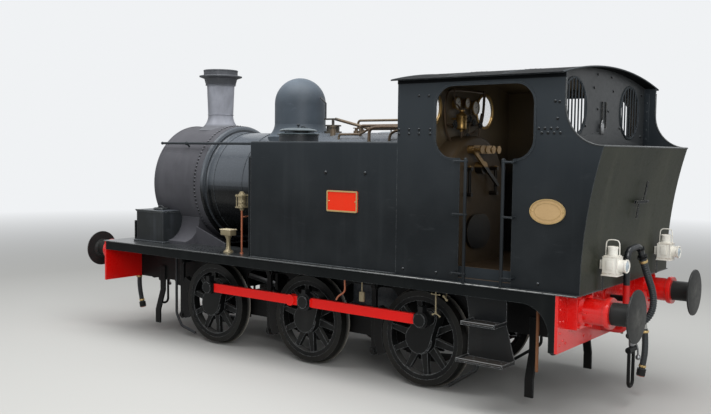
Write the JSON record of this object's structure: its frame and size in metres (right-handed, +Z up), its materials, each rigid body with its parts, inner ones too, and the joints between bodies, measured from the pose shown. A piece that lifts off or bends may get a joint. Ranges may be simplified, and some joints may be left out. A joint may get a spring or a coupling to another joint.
{
  "type": "six-coupled side tank shunting steam locomotive",
  "caption": "Side tank steam locomotive with inside cylinders, coupled wheels on red rods, open cab and rear bunker; wheels turn, smokebox door and tank lids open.",
  "frame": {"origin": "on the plane of the wheel flange tips, midway between the buffer faces and on the centre line", "axes": "+X forward towards the chimney, +Y the engine's left side, +Z up"},
  "size_m": [7.848, 2.57, 3.6278],
  "materials": {
    "black_paint": "satin black paint",
    "smoke_black": "heat-proof matt black paint, greyed",
    "red_paint": "gloss vermilion paint",
    "bright_steel": "machined steel",
    "cast_black": "black-painted castings and forgings",
    "tyre_steel": "worn steel",
    "hose_rubber": "ribbed black rubber",
    "brass": "dull brass",
    "white_paint": "white enamel, chipped",
    "cab_cream": "brown and cream cab paint",
    "floor_wood": "worn planks"
  },
  "bodies": {
    "engine": {"axleboxes": "cast_black", "backhead": "cab_cream", "boiler": "black_paint", "boiler_mountings": "brass", "brake_hangers": "cast_black", "brake_rigging": "cast_black", "buffer_beams": "red_paint", "buffer_heads": "cast_black", "buffer_housings": "red_paint", "bunker": "black_paint", "cab_fittings": "brass", "cab_floor": "floor_wood", "cab_front_sheet": "black_paint", "cab_rear_sheet": "black_paint", "cab_roof": "black_paint", "cab_steps": "black_paint", "chimney": "smoke_black", "cylinder_block": "cast_black", "drawhooks": "cast_black", "filler_necks": "black_paint", "frame_plates": "black_paint", "frame_stretchers": "black_paint", "front_heating_hose": "hose_rubber", "front_vacuum_hose": "hose_rubber", "guard_irons": "black_paint", "handrails": "bright_steel", "heating_pipes": "cast_black", "lamp_irons": "black_paint", "lamps": "white_paint", "leaf_springs": "cast_black", "left_cab_side": "black_paint", "left_tank": "black_paint", "lubricators": "brass", "overflow_pipes": "black_paint", "plates": "brass", "rear_heating_hose": "hose_rubber", "rear_vacuum_hose": "hose_rubber", "right_cab_side": "black_paint", "right_tank": "black_paint", "running_plate": "black_paint", "sanding_gear": "black_paint", "screw_couplings": "cast_black", "slide_bars": "bright_steel", "smokebox": "smoke_black", "smokebox_saddle": "smoke_black", "steam_dome": "smoke_black", "vacuum_pipes": "black_paint", "valances": "black_paint", "window_bars": "black_paint"},
    "trailing_wheelset": {"trailing_wheelset": "cast_black", "trailing_tyres": "tyre_steel"},
    "driving_wheelset": {"driving_wheelset": "cast_black", "driving_tyres": "tyre_steel"},
    "leading_wheelset": {"leading_wheelset": "cast_black", "leading_tyres": "tyre_steel"},
    "left_coupling_rod": {"left_coupling_rod": "red_paint"},
    "right_coupling_rod": {"right_coupling_rod": "red_paint"},
    "smokebox_door": {"smokebox_door": "smoke_black"},
    "left_filler_lid": {"left_filler_lid": "black_paint"},
    "right_filler_lid": {"right_filler_lid": "black_paint"}
  },
  "joints": [
    {"name": "driving_axle", "type": "hinge", "parent": "engine", "child": "driving_wheelset", "pos_m": [0.015, 0, 0.543], "axis": [0, 1, 0], "continuous": true},
    {"name": "leading_axle", "type": "hinge", "parent": "engine", "child": "leading_wheelset", "pos_m": [1.615, 0, 0.543], "axis": [0, 1, 0], "continuous": true},
    {"name": "trailing_axle", "type": "hinge", "parent": "engine", "child": "trailing_wheelset", "pos_m": [-1.585, 0, 0.543], "axis": [0, 1, 0], "continuous": true},
    {"name": "left_rod_pin", "type": "hinge", "parent": "driving_wheelset", "child": "left_coupling_rod", "pos_m": [-0.12075, 0, 0.78789], "axis": [0, 1, 0], "continuous": true},
    {"name": "right_rod_pin", "type": "hinge", "parent": "driving_wheelset", "child": "right_coupling_rod", "pos_m": [0.25989, 0, 0.67875], "axis": [0, 1, 0], "continuous": true},
    {"name": "smokebox_door_hinge", "type": "hinge", "parent": "engine", "child": "smokebox_door", "pos_m": [2.855, 0.585, 2.057], "axis": [0, 0, 1], "range_deg": [0, 110]},
    {"name": "left_filler_hinge", "type": "hinge", "parent": "engine", "child": "left_filler_lid", "pos_m": [0.075, 0.663, 2.709], "axis": [1, 0, 0], "range_deg": [0, 105]},
    {"name": "right_filler_hinge", "type": "hinge", "parent": "engine", "child": "right_filler_lid", "pos_m": [0.075, -0.663, 2.709], "axis": [-1, 0, 0], "range_deg": [0, 105]}
  ],
  "couplings": [
    {"joint": "leading_axle", "follows": "driving_axle", "ratio": 1},
    {"joint": "trailing_axle", "follows": "driving_axle", "ratio": 1},
    {"joint": "left_rod_pin", "follows": "driving_axle", "ratio": -1},
    {"joint": "right_rod_pin", "follows": "driving_axle", "ratio": -1}
  ]
}
